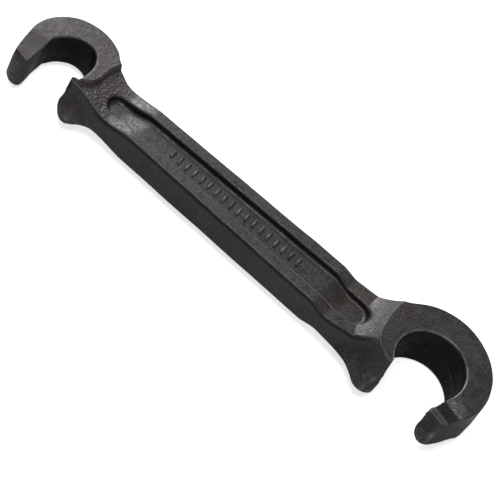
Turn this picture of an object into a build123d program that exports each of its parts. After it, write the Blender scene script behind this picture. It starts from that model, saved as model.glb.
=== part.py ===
from build123d import *

import os
from math import cos, radians, sin

# Double-ended valve wheel hook wrench, one steel forging. Millimetres.
# Working frame: X runs along the handle towards the large hook, the hook mouths open
# towards -Y, and Z = 0 is the forging's parting plane. The whole part is moved at the end so
# that its bounding box stands on Z = 0 with the box centred on the origin.

# large hook
LARGE_THICK = 29.0
LARGE_SEAT = (120.9, -1.1)
LARGE_SEAT_R = 19.6
LARGE_OUTER = (120.0, -0.4)
LARGE_OUTER_R = 35.4
LARGE_TIP = (141.6, -19.8)
LARGE_TIP_R = 7.8
LARGE_BOSS_X = 89.5

# small hook
SMALL_THICK = 22.8
SMALL_SEAT = (-122.3, 2.2)
SMALL_SEAT_R = 12.5
SMALL_OUTER = (-120.6, 1.2)
SMALL_OUTER_R = 27.0
SMALL_BOSS_X = -102.0

# handle: an I section that widens towards the large hook
HANDLE_X = (-73.0, 57.0)
HANDLE_HALF = (14.1, 16.5)
HANDLE_THICK = 19.0
HANDLE_RIB_EDGE = 2.0
HANDLE_POCKET_HALF = (7.2, 8.8)
HANDLE_POCKET_DEPTH = 3.7

# necks: thinner than the handle, with a deeper pocket that ends in a half round
NECK_THICK = 12.6
NECK_WEB = 5.8
SMALL_NECK_STEP_X = -77.5
LARGE_NECK_STEP_X = 61.5
SMALL_POCKET_END = (-86.6, 6.4)
LARGE_POCKET_END = (74.6, 7.4)
SMALL_NECK_ROOT = (-90.0, 16.4)
LARGE_NECK_ROOT = (79.0, 28.4)

# heels: the spurs that face the hook tips across the mouths
SMALL_HEEL_Y = -6.0
SMALL_HEEL_THICK = 17.0
LARGE_HEEL_Y = -12.0
LARGE_HEEL_THICK = 25.0

# tips: heights above and depths below the parting plane, along Y from hook to finger end
SMALL_TIP_TOP = ((-0.5, 11.4), (-13.4, 7.4), (-15.8, 4.6), (-26.0, 4.6))
SMALL_TIP_UNDER = ((-0.5, 11.4), (-26.0, 11.4))
LARGE_TIP_TOP = ((-6.0, 14.5), (-7.5, 14.5), (-12.0, 12.6), (-15.0, 8.0), (-19.0, 6.6), (-30.0, 6.6))
LARGE_TIP_UNDER = ((-6.0, 14.0), (-11.0, 10.0), (-20.0, 7.4), (-30.0, 6.6))

# cuts that divide the forging into its named regions
SMALL_TIP_Y = -0.5
SMALL_ARCH_X = -114.0
LARGE_TIP_Y = -6.0
LARGE_ARCH_X = 112.0

# raised band of plain marks on the web
MARK_X = (-49.0, 36.0)
MARK_COUNT = 18
MARK_SIZE = (1.5, 6.0)
MARK_HEIGHT = 0.7

TALL = 60.0
WIDE = 200.0


def polar(centre, radius, degrees):
    """Return the point at an angle on a circle."""
    turn = radians(degrees)
    return centre[0] + radius * cos(turn), centre[1] + radius * sin(turn)


def outline(*points):
    """Return a flat face with straight sides."""
    return make_face(Polyline(*points, close=True))


def disc(centre, radius):
    """Return a flat round face."""
    return Pos(*centre) * Circle(radius)


def slab(face, thickness):
    """Return a face thickened equally above and below the parting plane."""
    return extrude(face, thickness / 2, both=True)


def side_profile(*points):
    """Return a solid across the whole width from X, half-thickness pairs."""
    ring = [(x, z) for x, z in points] + [(x, -z) for x, z in reversed(points)]
    return extrude(Plane.XZ * outline(*ring), TALL, both=True)


def lengthwise_profile(top, under):
    """Return a solid across the whole length from Y, height pairs and Y, depth pairs."""
    ring = [(y, z) for y, z in top] + [(y, -z) for y, z in reversed(under)]
    return extrude(Plane.YZ * outline(*ring), WIDE, both=True)


def right_of(x):
    """Return a block that fills everything beyond x."""
    return Pos(x + WIDE / 2, 0, 0) * Box(WIDE, WIDE, WIDE)


def above(y):
    """Return a block that fills everything past y."""
    return Pos(0, y + WIDE / 2, 0) * Box(2 * WIDE, WIDE, WIDE)


def only_solid(shape):
    """Return the one solid that a boolean left."""
    solids = shape.solids()
    if len(solids) != 1:
        raise ValueError(f"expected one solid, got {len(solids)}")
    return solids[0]


def outward_cut(top, ridge, x_range):
    """Return the wedge that leaves a heel's upper side sloping from a top line to a ridge.

    top and ridge are (y, z) pairs; the wedge lies outside the line through them.
    """
    run = ridge[0] - top[0]
    rise = ridge[1] - top[1]
    high = (top[0] - run, top[1] - rise)
    profile = Polyline((0, *high), (0, *ridge), (0, ridge[0] - TALL, ridge[1]),
                       (0, ridge[0] - TALL, high[1]), close=True)
    start, end = x_range
    return Pos(start, 0, 0) * extrude(make_face(profile), end - start, dir=(1, 0, 0))


def pocket_plan(half_start, half_end, x_start, x_end):
    """Return the outline of a straight run of the web pocket."""
    return outline((x_start, -half_start), (x_end, -half_end), (x_end, half_end), (x_start, half_start))


def pockets(plan, floor, thickness):
    """Return the two pockets cut from both faces down to the web."""
    depth = thickness / 2 - floor
    upper = Pos(0, 0, floor) * extrude(plan, depth + 1)
    return upper + mirror(upper, Plane.XY)


def handle_beam():
    start, end = HANDLE_X
    half_start, half_end = HANDLE_HALF
    plan = outline((start, -half_start), (end, -half_end), (end, half_end), (start, half_start))
    beam = slab(plan, HANDLE_THICK)
    long_edges = beam.edges().filter_by(lambda edge: edge.length > (end - start) * 0.99)
    beam = fillet(long_edges, HANDLE_RIB_EDGE)
    recess = pocket_plan(*HANDLE_POCKET_HALF, start - 1, end + 1)
    floor = HANDLE_THICK / 2 - HANDLE_POCKET_DEPTH
    return beam - pockets(recess, floor, HANDLE_THICK)


def small_neck():
    start = HANDLE_X[0]
    half = HANDLE_HALF[0]
    far = SMALL_BOSS_X
    edge = Polyline((far, 19.4), (far, SMALL_HEEL_Y), (-93.5, SMALL_HEEL_Y), (-93.5, -15.2))
    low = ThreePointArc((-93.5, -15.2), (-83.0, -14.4), (start, -half))
    side = Line((start, -half), (start, half))
    high = ThreePointArc((start, half), (-88.0, 15.4), (far, 19.4))
    body = slab(make_face([edge, low, side, high]), TALL)
    profile = side_profile((start, HANDLE_THICK / 2), (SMALL_NECK_STEP_X, NECK_THICK / 2),
                           (SMALL_NECK_ROOT[0], NECK_THICK / 2), (far, SMALL_NECK_ROOT[1] / 2))
    end_x, end_half = SMALL_POCKET_END
    recess = pocket_plan(end_half, HANDLE_POCKET_HALF[0], end_x, start + 1) + disc((end_x, 0), end_half)
    return (body & profile) - pockets(recess, NECK_WEB / 2, SMALL_NECK_ROOT[1])


def large_neck():
    start = HANDLE_X[1]
    half = HANDLE_HALF[1]
    far = LARGE_BOSS_X
    edge = Polyline((far, 20.6), (far, LARGE_HEEL_Y), (79.0, LARGE_HEEL_Y), (79.0, -18.6))
    low = ThreePointArc((79.0, -18.6), (68.0, -17.3), (start, -half))
    side = Line((start, -half), (start, half))
    high = ThreePointArc((start, half), (75.0, 17.6), (far, 20.6))
    body = slab(make_face([edge, low, side, high]), TALL)
    profile = side_profile((start, HANDLE_THICK / 2), (LARGE_NECK_STEP_X, NECK_THICK / 2),
                           (LARGE_NECK_ROOT[0], NECK_THICK / 2), (far, LARGE_NECK_ROOT[1] / 2))
    end_x, end_half = LARGE_POCKET_END
    recess = pocket_plan(HANDLE_POCKET_HALF[1], end_half, start - 1, end_x) + disc((end_x, 0), end_half)
    return (body & profile) - pockets(recess, NECK_WEB / 2, LARGE_NECK_ROOT[1])


def small_hook_plan():
    """Return the small hook: a round back, a straight finger and a parallel-sided seat."""
    left = SMALL_OUTER[0] - SMALL_OUTER_R
    seat_left = SMALL_SEAT[0] - SMALL_SEAT_R
    back = disc(SMALL_OUTER, SMALL_OUTER_R) - outline((left, -60), (left, SMALL_OUTER[1]),
                                                     SMALL_OUTER, (SMALL_OUTER[0], SMALL_HEEL_Y),
                                                     (-60, SMALL_HEEL_Y), (-60, -60))
    finger = make_face([
        Polyline((SMALL_OUTER[0], SMALL_OUTER[1]), (left, SMALL_OUTER[1]), (left + 1.0, -12.0)),
        ThreePointArc((left + 1.0, -12.0), (-144.6, -17.4), (-140.4, -20.4)),
        ThreePointArc((-140.4, -20.4), (-135.6, -20.6), (-133.8, -16.8)),
        Polyline((-133.8, -16.8), (seat_left, -10.0), (seat_left, -1.0), (SMALL_OUTER[0], SMALL_OUTER[1])),
    ])
    seat = disc(SMALL_SEAT, SMALL_SEAT_R) + outline((seat_left, SMALL_SEAT[1]), (seat_left, -10.0),
                                                    (seat_left + 2 * SMALL_SEAT_R, -10.0),
                                                    (seat_left + 2 * SMALL_SEAT_R, SMALL_SEAT[1]))
    shoulder = outline((-109.0, 10.0), (-107.0, 24.6), (SMALL_BOSS_X, 19.6), (SMALL_BOSS_X, -2.0),
                       (-106.0, -5.5))
    whole = back + finger + shoulder - seat
    past_boss = outline((SMALL_BOSS_X, -60), (SMALL_BOSS_X, 60), (0, 60), (0, -60))
    return whole - past_boss


def large_hook_plan():
    """Return the large hook: a crescent with a round tip and a shoulder at the neck."""
    tip_root = polar(LARGE_SEAT, LARGE_SEAT_R, -46)
    tip_back = polar(LARGE_OUTER, LARGE_OUTER_R, -33)
    heel_root = (LARGE_SEAT[0] - 16.4, LARGE_HEEL_Y)
    mouth = outline((60, LARGE_HEEL_Y), heel_root, LARGE_SEAT, tip_root, LARGE_TIP, tip_back,
                    (tip_back[0], -60), (60, -60))
    shoulder = outline((LARGE_BOSS_X, 20.6), (96.8, 26.4), (102.0, 10.0), (98.0, LARGE_HEEL_Y),
                       (LARGE_BOSS_X, LARGE_HEEL_Y))
    crescent = disc(LARGE_OUTER, LARGE_OUTER_R) + shoulder - disc(LARGE_SEAT, LARGE_SEAT_R)
    before_boss = outline((LARGE_BOSS_X, -60), (LARGE_BOSS_X, 60), (60, 60), (60, -60))
    tip = disc(LARGE_TIP, LARGE_TIP_R) - disc(LARGE_SEAT, LARGE_SEAT_R)
    return crescent - mouth - before_boss + tip


def small_heel():
    plan = make_face([
        Polyline((-93.5, -15.2), (-93.5, SMALL_HEEL_Y), (-109.8, SMALL_HEEL_Y), (-113.6, -8.6),
                 (-111.8, -15.2)),
        ThreePointArc((-111.8, -15.2), (-109.8, -18.2), (-106.8, -20.6)),
        ThreePointArc((-106.8, -20.6), (-104.4, -21.4), (-102.0, -20.9)),
        ThreePointArc((-102.0, -20.9), (-98.0, -17.4), (-93.5, -15.2)),
    ])
    spur = slab(plan, SMALL_HEEL_THICK)
    return spur - outward_cut((-10.2, SMALL_HEEL_THICK / 2), (-21.4, -6.0), (-113.0, -90.0))


def large_heel():
    plan = make_face([
        Polyline((79.0, -18.6), (79.0, LARGE_HEEL_Y), (LARGE_SEAT[0] - 16.4, LARGE_HEEL_Y), (107.4, -18.0)),
        ThreePointArc((107.4, -18.0), (105.2, -24.2), (101.0, -27.6)),
        ThreePointArc((101.0, -27.6), (97.2, -27.4), (93.6, -24.9)),
        ThreePointArc((93.6, -24.9), (87.0, -20.7), (79.0, -18.6)),
    ])
    spur = slab(plan, LARGE_HEEL_THICK)
    slope = side_profile((79.0, NECK_THICK / 2), (90.0, LARGE_HEEL_THICK / 2), (110.0, LARGE_HEEL_THICK / 2))
    return (spur & slope) - outward_cut((-16.4, LARGE_HEEL_THICK / 2), (-27.7, -6.0), (78.0, 110.0))


def raised_marks():
    """Return the row of plain raised bars on the top of the web."""
    floor = HANDLE_THICK / 2 - HANDLE_POCKET_DEPTH
    start, end = MARK_X
    pitch = (end - start) / (MARK_COUNT - 1)
    width, length = MARK_SIZE
    bar = Box(width, length, MARK_HEIGHT, align=(Align.CENTER, Align.CENTER, Align.MIN))
    return Compound([Pos(start + pitch * i, 0, floor) * bar for i in range(MARK_COUNT)])


def regions():
    """Return every named region of the forging, meeting face to face."""
    small = slab(small_hook_plan(), SMALL_THICK)
    large = slab(large_hook_plan(), LARGE_THICK)
    small_tip = small - above(SMALL_TIP_Y) - right_of(SMALL_SEAT[0])
    small_boss = small & right_of(SMALL_ARCH_X)
    large_tip = (large - above(LARGE_TIP_Y)) & right_of(LARGE_SEAT[0])
    large_boss = large - right_of(LARGE_ARCH_X)
    return {
        "small_hook_tip": small_tip & lengthwise_profile(SMALL_TIP_TOP, SMALL_TIP_UNDER),
        "small_hook_arch": small - small_tip - small_boss,
        "small_hook_boss": small_boss,
        "small_heel": small_heel(),
        "small_neck": small_neck(),
        "handle_beam": handle_beam(),
        "large_neck": large_neck(),
        "large_heel": large_heel(),
        "large_hook_boss": large_boss,
        "large_hook_arch": large - large_tip - large_boss,
        "large_hook_tip": large_tip & lengthwise_profile(LARGE_TIP_TOP, LARGE_TIP_UNDER),
    }


def main():
    os.makedirs("parts", exist_ok=True)
    nodes = {name: only_solid(shape) for name, shape in regions().items()}
    box = Compound(list(nodes.values())).bounding_box()
    centre = box.center()
    to_row = Pos(-centre.X, -centre.Y, -box.min.Z)
    print("working frame to row frame:", -centre.X, -centre.Y, -box.min.Z)
    for name, solid in nodes.items():
        export_step(to_row * solid, f"parts/{name}.step")
    export_step(to_row * raised_marks(), "parts/raised_marks.step")


main()
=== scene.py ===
"""Double-ended valve wheel hook wrench: one black steel forging with a hook at each end.

The forging is described as a solid field in millimetres, in the maker's own axes: X along the
handle towards the large hook, mouths towards -Y and the parting plane at Z = 0. The field is
turned into a skin, divided into the named regions of the forging, and dressed.
"""

import logging
import math
from dataclasses import dataclass, field
from enum import Enum

import bmesh
import bpy
import numpy as np
from mathutils import Matrix, Vector


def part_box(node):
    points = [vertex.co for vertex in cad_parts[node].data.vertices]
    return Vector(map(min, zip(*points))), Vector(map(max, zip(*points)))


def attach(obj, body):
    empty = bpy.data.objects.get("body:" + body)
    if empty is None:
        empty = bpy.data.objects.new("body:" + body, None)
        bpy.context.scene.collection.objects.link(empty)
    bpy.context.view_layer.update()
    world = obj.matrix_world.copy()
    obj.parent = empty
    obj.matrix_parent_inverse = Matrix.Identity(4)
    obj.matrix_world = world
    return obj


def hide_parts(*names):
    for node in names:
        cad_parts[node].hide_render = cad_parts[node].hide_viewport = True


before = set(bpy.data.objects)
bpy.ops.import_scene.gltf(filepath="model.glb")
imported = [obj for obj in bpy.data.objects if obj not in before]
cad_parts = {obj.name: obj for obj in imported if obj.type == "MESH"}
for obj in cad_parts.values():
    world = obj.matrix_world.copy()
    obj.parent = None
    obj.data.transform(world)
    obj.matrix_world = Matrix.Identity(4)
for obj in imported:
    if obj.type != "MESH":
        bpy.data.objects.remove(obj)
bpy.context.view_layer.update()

LOG = logging.getLogger("hook_wrench")
Points = np.ndarray
Grid = np.ndarray
Spot = tuple[float, float]
Levels = tuple[Spot, ...]
Colour = tuple[float, float, float, float]
Socket = bpy.types.NodeSocket
MM = 0.001
BODY = "root"


# ---------------------------------------------------------------- shape helpers


def arc(centre: Spot, radius: float, start: float, end: float, steps: int = 36) -> Points:
    """Return points along a circular arc.

    Args:
        centre: Centre of the circle.
        radius: Radius of the circle.
        start: First angle in degrees.
        end: Last angle in degrees.
        steps: Number of points.

    Returns:
        An array of X, Y rows.
    """
    turn = np.radians(np.linspace(start, end, steps))
    return np.stack([centre[0] + radius * np.cos(turn), centre[1] + radius * np.sin(turn)], 1)


def flowing(*anchors: Spot, steps: int = 6) -> Points:
    """Return a smooth line that passes through every anchor.

    Args:
        anchors: Points that the line passes through.
        steps: Points on each stretch.

    Returns:
        An array of X, Y rows that ends on the last anchor.
    """
    knots = np.array([anchors[0], *anchors, anchors[-1]], float)
    share = np.linspace(0, 1, steps, endpoint=False)[:, None]
    line = []
    for a, b, c, d in zip(knots, knots[1:], knots[2:], knots[3:]):
        line.append(0.5 * (2 * b + (c - a) * share + (2 * a - 5 * b + 4 * c - d) * share**2
                           + (3 * b - a - 3 * c + d) * share**3))
    return np.concatenate([*line, knots[-1:]])


def outline_distance(x: Grid, y: Grid, ring: Points) -> Grid:
    """Return the distance to a closed outline, negative inside it.

    Args:
        x: X of each place.
        y: Y of each place.
        ring: Corners of the outline in order.

    Returns:
        The signed distance at each place.
    """
    x, y = x.astype(np.float32), y.astype(np.float32)
    nearest = np.full(x.shape, np.inf, np.float32)
    inside = np.zeros(x.shape, bool)
    for (ax, ay), (bx, by) in zip(ring.tolist(), np.roll(ring, -1, axis=0).tolist()):
        ex, ey = bx - ax, by - ay
        length = ex * ex + ey * ey
        if length < 1e-12:
            continue
        px, py = x - ax, y - ay
        share = np.clip((px * ex + py * ey) / length, 0, 1)
        np.minimum(nearest, (px - ex * share) ** 2 + (py - ey * share) ** 2, out=nearest)
        if ay != by:
            inside ^= ((ay > y) != (by > y)) & (px < ex * py / ey)
    return np.where(inside, -1.0, 1.0) * np.sqrt(nearest, dtype=float)


def blend_max(a: Grid, b: Grid, radius: Grid | float) -> Grid:
    """Return the larger of two fields with a rounded change-over."""
    return np.maximum(a, b) + np.maximum(radius - np.abs(a - b), 0) ** 2 / (4 * radius)


def blend_min(a: Grid, b: Grid, radius: Grid | float) -> Grid:
    """Return the smaller of two fields with a rounded change-over."""
    return -blend_max(-a, -b, radius)


def ease(low: float, high: float, value: Grid) -> Grid:
    """Return 0 before low, 1 after high and a smooth ramp between them."""
    share = np.clip((value - low) / (high - low), 0, 1)
    return share * share * (3 - 2 * share)


def near(x: Grid, y: Grid, centre: Spot, reach: float) -> Grid:
    """Return a soft round patch, 1 at its centre."""
    return np.exp(-((x - centre[0]) ** 2 + (y - centre[1]) ** 2) / (2 * reach * reach))


def at_levels(levels: Levels, value: Grid) -> Grid:
    """Return the level at a value, straight between the listed pairs of value and level."""
    values, heights = np.array(levels).T
    return np.interp(value, values, heights)


def ripple(x: Grid, y: Grid, z: Grid, shortest: float, longest: float, waves: int, seed: int) -> Grid:
    """Return soft unevenness between about -1 and 1.

    Args:
        x: X of each place.
        y: Y of each place.
        z: Z of each place.
        shortest: Shortest wave in millimetres.
        longest: Longest wave in millimetres.
        waves: Number of waves that are added up.
        seed: Seed for the directions of the waves.

    Returns:
        The unevenness at each place.
    """
    draw = np.random.default_rng(seed)
    total = np.zeros(np.broadcast(x, y, z).shape)
    for _ in range(waves):
        way = draw.normal(size=3)
        way *= 2 * math.pi / draw.uniform(shortest, longest) / np.linalg.norm(way)
        total += np.sin(way[0] * x + way[1] * y + way[2] * z + draw.uniform(0, 2 * math.pi))
    return total / math.sqrt(waves)


def skin_of(values: Grid, origin: Points, step: float) -> tuple[Points, Points]:
    """Return the skin where a sampled field passes through zero.

    Args:
        values: The field on a regular lattice, negative inside the solid.
        origin: Place of the lattice's first sample.
        step: Spacing of the lattice.

    Returns:
        The skin's vertices and its four-sided faces, which face outwards.
    """
    cells = tuple(n - 1 for n in values.shape)
    total = int(np.prod(cells))
    sums, counts, faces = np.zeros((3, total)), np.zeros(total), []
    for axis in range(3):
        low = values.take(range(values.shape[axis] - 1), axis)
        high = values.take(range(1, values.shape[axis]), axis)
        crossed = (low < 0) != (high < 0)
        at = np.argwhere(crossed)
        before, after = low[crossed], high[crossed]
        place = at.astype(float)
        place[:, axis] += before / (before - after)
        across, along = (axis + 1) % 3, (axis + 2) % 3
        corners = []
        for du, dw in ((-1, -1), (0, -1), (0, 0), (-1, 0)):
            cell = at.copy()
            cell[:, across] += du
            cell[:, along] += dw
            index = np.ravel_multi_index(cell.T, cells)
            corners.append(index)
            counts += np.bincount(index, minlength=total)
            for k in range(3):
                sums[k] += np.bincount(index, place[:, k], minlength=total)
        quad = np.stack(corners, 1)
        backwards = before > 0
        quad[backwards] = quad[backwards][:, ::-1]
        faces.append(quad)
    used = np.flatnonzero(counts)
    number = np.zeros(total, int)
    number[used] = np.arange(len(used))
    return (sums[:, used] / counts[used]).T * step + origin, number[np.concatenate(faces)]


def linked(name: str, data: bpy.types.ID) -> bpy.types.Object:
    """Return a new object in the scene that shows this data.

    Args:
        name: Name of the object.
        data: The mesh, light or camera that it shows.

    Returns:
        The object.
    """
    made = bpy.data.objects.new(name, data)
    bpy.context.scene.collection.objects.link(made)
    return made


def mesh_of(shape: bmesh.types.BMesh, name: str) -> bpy.types.Mesh:
    """Return a shape as a mesh, and free the shape.

    Args:
        shape: The shape, which can't be used afterwards.
        name: Name of the mesh.

    Returns:
        The mesh.
    """
    mesh = bpy.data.meshes.new(name)
    shape.to_mesh(mesh)
    shape.free()
    return mesh


# ---------------------------------------------------------------- the parts of the forging


@dataclass
class SmallHook:
    """The small hook: a round back, a straight finger and a half-round seat."""

    half: float = 11.4
    back: Spot = (-120.6, 1.2)
    back_radius: float = 27.0
    seat_middle: Spot = (-122.3, 1.2)
    seat_fade: Spot = (15.6, 14.6)
    mouth_fade: Spot = (-12.0, -8.0)
    root_half: float = 8.2
    step_width: float = 1.7
    tip_fall: Levels = ((-30.0, 4.4), (-17.2, 4.4), (-15.7, 7.4), (-1.0, 11.4), (40.0, 30.0))
    tip_rim: float = 0.35
    facet_skew: float = 0.24
    facet_middle: float = -145.3
    facet_span: Spot = (-6.0, -14.0)
    finger_x: float = -122.4

    def outer_edge(self) -> Points:
        """Return the back of the hook from the neck round to the finger.

        Returns:
            An array of X, Y rows.
        """
        return np.concatenate([
            flowing((-73.0, 14.4), (-81.0, 15.0), (-91.3, 15.9), (-96.5, 17.7), (-101.6, 20.0),
                    (-105.2, 22.9), (-108.0, 26.0)),
            arc(self.back, self.back_radius, 60, 180, 40),
        ])

    def finger(self, at_parting: bool) -> Points:
        """Return the end of the finger, longer at the parting plane than at its top.

        Args:
            at_parting: Whether the line is at the parting plane, or else at the top of the walls.

        Returns:
            An array of X, Y rows.
        """
        if at_parting:
            return flowing((-147.2, -4.0), (-146.4, -11.6), (-144.6, -17.2), (-140.6, -20.4), (-137.0, -21.0),
                           (-134.3, -19.6), (-133.5, -16.4), (-134.4, -9.0))
        return flowing((-147.0, -4.0), (-146.3, -11.0), (-145.3, -15.6), (-143.6, -17.6), (-139.6, -19.1),
                       (-136.6, -18.9), (-135.0, -15.5), (-134.7, -7.0))

    def seat_edge(self) -> Points:
        """Return the seat from the finger to the heel."""
        return flowing((-134.7, 1.9), (-132.4, 6.8), (-129.25, 10.6), (-124.4, 13.9), (-118.85, 14.5),
                       (-114.25, 12.1), (-111.0, 7.3), (-110.0, 1.4), (-110.0, -5.0))

    def heel(self, at_parting: bool) -> Points:
        """Return the heel, wide at its ridge and narrow at its top.

        Args:
            at_parting: Whether the line is at the parting plane, or else at the top of the walls.

        Returns:
            An array of X, Y rows.
        """
        if at_parting:
            return flowing((-110.8, -6.4), (-113.6, -8.6), (-113.8, -11.6), (-111.8, -15.6), (-107.8, -20.0),
                           (-104.8, -21.4), (-102.0, -21.1), (-99.4, -19.4), (-95.6, -16.4), (-90.6, -14.6),
                           (-82.0, -14.4), (-73.0, -14.0))
        return flowing((-110.6, -6.2), (-112.8, -7.2), (-114.0, -8.4), (-112.4, -9.3), (-108.0, -9.7),
                       (-101.0, -11.2), (-91.3, -12.7), (-82.0, -13.6), (-73.0, -13.9))

    def boss_edge(self) -> Points:
        """Return a closed line round the thick part, whose open side lies far beyond the hook.

        Returns:
            An array of X, Y rows.
        """
        return np.concatenate([
            flowing((-97.8, 29.4), (-100.4, 19.4), (-102.4, 11.4), (-102.7, 2.4), (-104.2, -2.6),
                    (-108.4, -6.0), (-114.0, -9.4), (-118.0, -16.0)),
            [(-118.0, -60.0), (-190.0, -60.0), (-190.0, 60.0), (-98.0, 60.0)],
        ])

    def in_seat(self, x: Grid, y: Grid) -> Grid:
        """Return where the seat's walls are, 0 to 1."""
        away = np.hypot(x - self.seat_middle[0], y - self.seat_middle[1])
        return ease(*self.seat_fade, away) * ease(*self.mouth_fade, y)

    def underside(self, x: Grid, half: Grid) -> Grid:
        """Return the depth below the parting plane, where the finger keeps the hook's full depth."""
        return np.where(x < self.finger_x, self.half, half)

    def raised(self, x: Grid, y: Grid, root: Grid, outside: Grid) -> Grid:
        """Return the half-thickness where the boss stands up from the neck in a step.

        Args:
            x: X of each place.
            y: Y of each place.
            root: Half-thickness of the neck at each place.
            outside: Distance outside the boss's edge, negative inside it.

        Returns:
            The half-thickness at each place.
        """
        lift = 1 - ease(-self.step_width / 2, self.step_width / 2, outside)
        slanted = y + self.facet_skew * (x - self.facet_middle) * ease(*self.facet_span, y)
        fall = blend_min(at_levels(self.tip_fall, slanted), np.full_like(y, self.half), self.tip_rim)
        fallen = np.where(x < self.finger_x, fall, self.half)
        return root + (fallen - root) * lift


@dataclass
class LargeHook:
    """The large hook: a deep crescent whose tip drops in a hollow step."""

    half: float = 14.42
    back: Spot = (120.0, -0.4)
    back_radius: float = 35.4
    seat: Spot = (120.9, -1.1)
    seat_radius: float = 19.3
    seat_fade: Spot = (22.0, 20.8)
    slope_reach: float = 11.5
    slope_power: float = 1.2
    chamfer_start: Spot = (142.0, -3.0)
    chamfer_way: Spot = (-0.72, -0.69)
    chamfer_drop: float = 0.2
    under_fall: Levels = (
        (-40.0, 6.0), (-22.0, 6.8), (-12.0, 8.2), (-5.0, 11.4), (3.0, 14.42), (60.0, 14.42),
    )
    tip_fall: Levels = (
        (-90.0, 5.4), (-50.0, 6.0), (-42.0, 6.3), (-38.5, 6.6), (-36.5, 7.3), (-34.5, 8.6), (-31.5, 10.8),
        (-29.5, 11.8), (-27.0, 12.4), (-22.0, 13.2), (-12.0, 14.9), (0.0, 22.0), (60.0, 90.0),
    )
    tip_rim: float = 0.5
    hollow_swing: float = 0.55
    hollow_radius: float = 20.0
    tip_x: float = 121.0
    flash_width: float = 0.45
    flash_height: float = 0.3
    flash_fade: Spot = (1.6, 0.4)
    dent_place: tuple[float, float, float] = (101.5, -21.0, 1.0)
    dent_reach: float = 2.4
    dent_rise: float = 3.4
    dent_depth: float = 0.9

    def outer_edge(self) -> Points:
        """Return the back of the hook from the tip round to the neck.

        Returns:
            An array of X, Y rows.
        """
        return np.concatenate([
            arc(self.back, self.back_radius, -4, 134, 50),
            flowing((92.6, 22.4), (88.0, 19.9), (80.0, 18.2), (70.0, 17.4), (57.0, 16.5)),
        ])

    def tip(self, at_parting: bool) -> Points:
        """Return the end of the tip from the seat to the back.

        Args:
            at_parting: Whether the line is at the parting plane, or else at the top of the walls.

        Returns:
            An array of X, Y rows.
        """
        if at_parting:
            return flowing((134.8, -16.4), (134.8, -20.6), (136.4, -25.2), (140.2, -27.9), (144.3, -26.9),
                           (147.6, -22.6), (151.8, -14.0), (154.5, -8.0))
        return flowing((134.9, -16.0), (135.4, -17.8), (137.6, -18.2), (140.2, -18.4), (142.6, -19.3),
                       (144.8, -19.0), (148.6, -16.3), (151.8, -12.2), (154.2, -7.0))

    def seat_edge(self) -> Points:
        """Return the seat from the heel round to the tip."""
        return arc(self.seat, self.seat_radius, 219, -44, 70)

    def heel(self, at_parting: bool) -> Points:
        """Return the heel, wide at its ridge and narrow at its top.

        Args:
            at_parting: Whether the line is at the parting plane, or else at the top of the walls.

        Returns:
            An array of X, Y rows.
        """
        if at_parting:
            return flowing((57.0, -16.6), (68.0, -17.8), (79.0, -19.2), (86.2, -20.9), (91.4, -23.6),
                           (95.0, -26.4), (98.0, -27.9), (101.2, -27.8), (104.2, -25.4), (106.4, -20.6),
                           (107.3, -16.6))
        return flowing((57.0, -16.5), (68.0, -15.9), (78.3, -13.9), (86.0, -12.5), (91.2, -11.6),
                       (96.0, -13.4), (101.0, -16.2), (104.4, -17.2), (106.2, -16.0))

    def boss_edge(self) -> Points:
        """Return a closed line round the thick part, whose open side lies far beyond the hook.

        Returns:
            An array of X, Y rows.
        """
        return np.concatenate([
            flowing((93.0, 34.0), (89.8, 20.0), (88.9, 12.0), (89.5, 4.0), (90.8, -4.0), (93.6, -9.8),
                    (98.0, -13.8), (103.5, -16.4), (112.0, -22.0)),
            [(112.0, -60.0), (200.0, -60.0), (200.0, 60.0), (93.0, 60.0)],
        ])

    def from_seat(self, x: Grid, y: Grid) -> Grid:
        """Return the distance from the middle of the seat."""
        return np.hypot(x - self.seat[0], y - self.seat[1])

    def in_seat(self, x: Grid, y: Grid) -> Grid:
        """Return where the seat's walls are, 0 to 1."""
        return ease(*self.seat_fade, self.from_seat(x, y))

    def flash(self, x: Grid, y: Grid, z: Grid) -> Grid:
        """Return how far the flash line stands out of the seat's wall."""
        on_wall = ease(*self.flash_fade, np.abs(self.from_seat(x, y) - self.seat_radius))
        return on_wall * np.exp(-(z / self.flash_width) ** 2) * self.flash_height

    def dent(self, x: Grid, y: Grid, z: Grid) -> Grid:
        """Return the depth of the dent in the end of the heel."""
        rise = np.exp(-((z - self.dent_place[2]) / self.dent_rise) ** 2)
        return near(x, y, self.dent_place[:2], self.dent_reach) * rise * self.dent_depth

    def underside(self, x: Grid, y: Grid, half: Grid) -> Grid:
        """Return the depth below the parting plane, where the tip thins out more gently than above."""
        return np.where(x > self.tip_x, at_levels(self.under_fall, y), half)

    def raised(self, x: Grid, y: Grid, root: Grid, outside: Grid) -> Grid:
        """Return the half-thickness where the boss climbs from the neck in a slope.

        Args:
            x: X of each place.
            y: Y of each place.
            root: Half-thickness of the neck at each place.
            outside: Distance outside the boss's edge, negative inside it.

        Returns:
            The half-thickness at each place.
        """
        outside = np.maximum(outside, 0)
        climb = np.clip(1 - outside / self.slope_reach, 0, 1) ** self.slope_power
        turn = np.degrees(np.arctan2(y - self.seat[1], x - self.seat[0]))
        turn = turn - self.hollow_swing * (self.from_seat(x, y) - self.hollow_radius)
        step = at_levels(self.tip_fall, turn)
        beyond = ((x - self.chamfer_start[0]) * self.chamfer_way[0]
                  + (y - self.chamfer_start[1]) * self.chamfer_way[1])
        chamfer = np.minimum(self.half - self.chamfer_drop * np.maximum(beyond, 0), self.half)
        fallen = np.where(x > self.tip_x, blend_min(step, chamfer, self.tip_rim), self.half)
        return root + (fallen - root) * climb


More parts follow.
